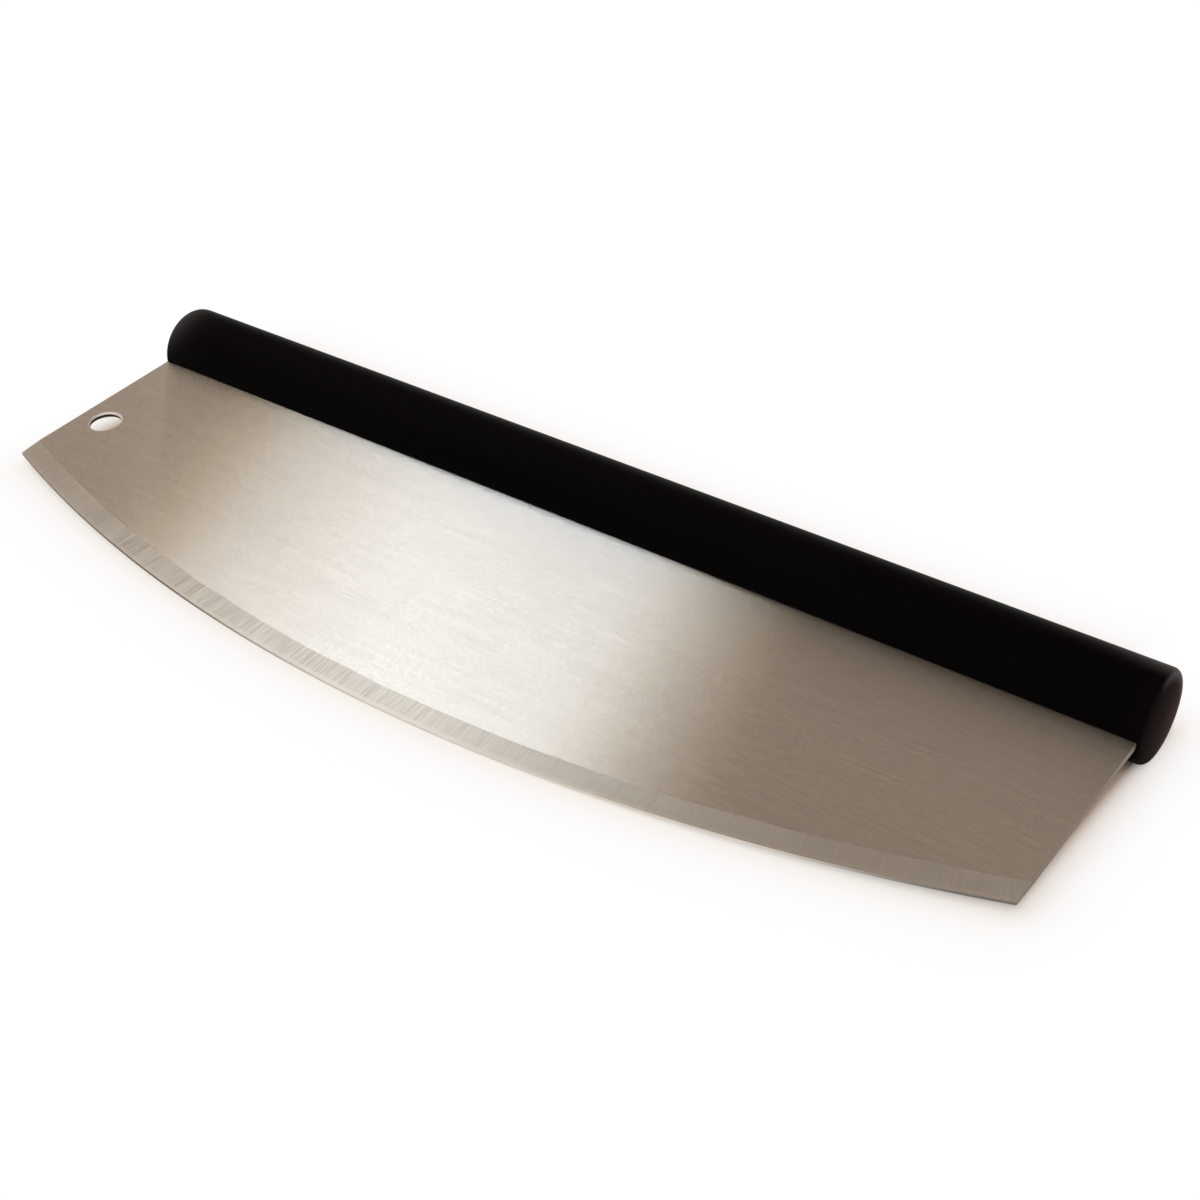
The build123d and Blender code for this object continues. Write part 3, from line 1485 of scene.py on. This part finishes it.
@dataclass(frozen=True)
class Studio:
    """A pale floor that sweeps up into a low wall, soft lamps and a dim warm room above."""

    floor_radius: float = 2.6
    sweep_radius: float = 0.7
    sweep_steps: int = 12
    wall_top: float = 0.75
    segments: int = 96
    # The darker warm paper near the knife, a painted shade halo
    shade_halo_colour: Colour = (0.88, 0.73, 0.60)
    wall_colour: Colour = (1.0, 0.985, 0.96)
    flag_near: Point2 = (-0.700, -0.735)
    flag_far: Point2 = (-0.810, -0.770)
    flag_behind: float = 0.5
    flag_rise: float = 0.3
    flag_loss: float = 0.9
    fade: float = 0.0065
    knife_half: float = 0.171
    side_pull: float = 1.35
    knife_back: float = 0.080
    end_back: float = 0.058
    end_from: float = 0.150
    end_to: float = 0.166
    edge_radius: float = 0.5188
    edge_front: float = 0.053
    room_colour: Colour = (1.236, 0.981, 0.779)
    room_level: float = 0.217
    behind_glow: float = 0.200
    behind_turns: Point2 = (70.0, 32.0)
    left_glow: float = 0.228
    left_turns: Point2 = (35.0, 60.0)
    left_from: float = -0.45
    left_to: float = -0.65

    @staticmethod
    def softboxes() -> list[Softbox]:
        """Gives the lamps.

        Returns:
            The lamps.
        """
        key = Softbox(
            "key_left",
            centre=(-0.662, -0.196, 0.881),
            target=(-0.018, -0.010, 0.007),
            width=0.421,
            length=1.60,
            brightness=0.985,
            long_axis=(0.0, -0.978, -0.208),
            colour=(1.10, 0.92, 0.56),
        )
        core_centre = (-0.660, -0.195, 0.878)
        core = replace(key, name="key_core", centre=core_centre, width=0.354, colour=(0.74, 1.04, 1.50))
        fill = Softbox(
            "fill_front",
            centre=(0.69, -1.15, 1.86),
            target=(0.0, 0.0, 0.0),
            width=1.5,
            length=2.8,
            brightness=2.4,
            long_axis=(0.0, 1.0, 0.0),
            colour=(0.97, 0.98, 1.0),
        )
        return [key, core, fill]

    def sweep(self) -> bpy.types.Object:
        """Makes the floor and its curved wall as one turned sheet.

        Returns:
            The sheet.
        """
        profile: list[Point2] = []
        for turn in quarter_turn(self.sweep_steps):
            out = self.floor_radius + self.sweep_radius * math.sin(turn)
            profile.append((out, self.sweep_radius * (1 - math.cos(turn))))
        profile.append((self.floor_radius + self.sweep_radius, self.wall_top))
        shape = bmesh.new()
        middle = shape.verts.new((0, 0, 0))
        rings = [
            [shape.verts.new((x, y, height)) for x, y in circle(radius, self.segments)]
            for radius, height in profile
        ]
        for step in range(self.segments):
            after = (step + 1) % self.segments
            shape.faces.new((middle, rings[0][step], rings[0][after]))
            for first, second in zip(rings, rings[1:]):
                shape.faces.new((first[step], second[step], second[after], first[after]))
        for face in shape.faces:
            face.smooth = True
        mesh = bpy.data.meshes.new("floor")
        shape.to_mesh(mesh)
        shape.free()
        floor = add_object("floor", mesh)
        floor.data.materials.append(self.floor_material())
        floor.data.materials.append(self.wall_material())
        for polygon in floor.data.polygons:
            polygon.material_index = int(polygon.center.z > 0.0)
        return floor

    def wall_material(self) -> bpy.types.Material:
        """Makes the sweep's wall: white paper lit from behind.

        Reflections also see a soft dark flag in front of it, at the left behind the knife.

        Returns:
            The material.
        """
        made, graph = new_material("wall_paper")
        x, y, z = graph.split(graph.wire("ShaderNodeTexCoord", output="Object"))
        side = x / graph.math("SQRT", x * x + y * y)
        across = graph.ramp(side, *self.flag_near) * graph.ramp(side, *self.flag_far)
        behind = graph.ramp(y, 0.0, self.flag_behind)
        camera = graph.wire("ShaderNodeLightPath", output="Is Camera Ray")
        flag = across * behind * graph.ramp(z, 0.0, self.flag_rise) * (1.0 - camera)
        sockets = {"Color": (*self.wall_colour, 1.0), "Strength": 1.0 - flag * self.flag_loss}
        graph.end(graph.wire("ShaderNodeEmission", None, sockets))
        return made

    def floor_material(self) -> bpy.types.Material:
        """Makes the floor's paper: matt, with a darker warm paper near the knife as painted shade over
        its real shadow, and white away from the knife where camera or gloss sees it.

        Returns:
            The material.
        """
        made, graph = new_material("floor_paper")
        rays = graph.node("ShaderNodeLightPath")
        names = ("Is Camera Ray", "Is Glossy Ray", "Is Transmission Ray")
        camera, glossy, clear = (Wire(graph, rays.outputs[name]) for name in names)
        seen = graph.math("MINIMUM", camera + glossy + clear, 1.0)
        paper = graph.wire("ShaderNodeBsdfDiffuse", None, {"Color": (*self.shade_halo_colour, 1.0)})
        white = graph.wire("ShaderNodeEmission", None, {"Color": (*WHITE, 1.0), "Strength": 1.0})
        # Painted shade halo: the darker warm paper shows within several millimetres of the knife's
        # outline, and white takes over further out
        share = seen * (1.0 - graph.math("EXPONENT", self.distance(graph) / -self.fade))
        graph.end(graph.wire("ShaderNodeMixShader", None, {0: share, 1: paper, 2: white}))
        return made

    def distance(self, graph: ShaderGraph) -> Wire:
        """Gives how far a point of the floor is from the lying knife's outline.

        Args:
            graph: The floor's graph.

        Returns:
            The distance in metres, which is 0 under the knife.
        """
        x, y, _ = graph.split(graph.wire("ShaderNodeTexCoord", output="Object"))
        up = y - (self.edge_radius - self.edge_front)
        front = graph.math("SQRT", x * x + up * up) - self.edge_radius
        at_end = graph.ramp(x, self.end_from, self.end_to)
        back = self.knife_back + at_end * (self.end_back - self.knife_back)
        across = graph.math("MAXIMUM", graph.math("MAXIMUM", front, y - back), 0.0)
        side = graph.math("MAXIMUM", graph.math("ABSOLUTE", x) - self.knife_half, 0.0) * self.side_pull
        return graph.math("SQRT", across * across + side * side)

    def room(self) -> None:
        """Lights the room dimly and warmly, more so low behind the knife and high at its left."""
        world = bpy.data.worlds.new("room")
        world.use_nodes = True
        bpy.context.scene.world = world
        graph = ShaderGraph(world.node_tree)
        x, y, z = graph.split(graph.wire("ShaderNodeTexCoord", output="Generated"))
        turn = graph.math("ARCTAN2", z, y)
        low, high = (
            graph.ramp(turn, *map(math.radians, turns)) for turns in (self.behind_turns, self.left_turns)
        )
        behind = low * graph.ramp(x, self.left_to, self.left_from) * self.behind_glow
        left = high * graph.ramp(x, self.left_from, self.left_to) * self.left_glow
        sockets = {"Color": (*self.room_colour, 1.0), "Strength": self.room_level + behind + left}
        graph.end(graph.wire("ShaderNodeBackground", None, sockets), "ShaderNodeOutputWorld")

    def set_up(self) -> None:
        """Sets the whole studio up."""
        self.sweep()
        self.room()
        for softbox in self.softboxes():
            softbox.hang()
        bpy.context.scene.view_settings.view_transform = "Standard"


def main() -> None:
    """Builds the knife piece by piece in its studio."""
    logging.basicConfig(level=logging.INFO, format="%(name)s: %(message)s", stream=sys.stdout)
    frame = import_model()
    Camera().stand()
    Studio().set_up()
    lie = KnifeLie()
    pieces: list[Piece] = [Blade(lie), GripSleeve(lie), *(EndCap(lie, side) for side in Side)]
    for piece in pieces:
        piece.build()
    HiddenCore().dress(frame["nodes"])


if __name__ == "__main__":
    main()
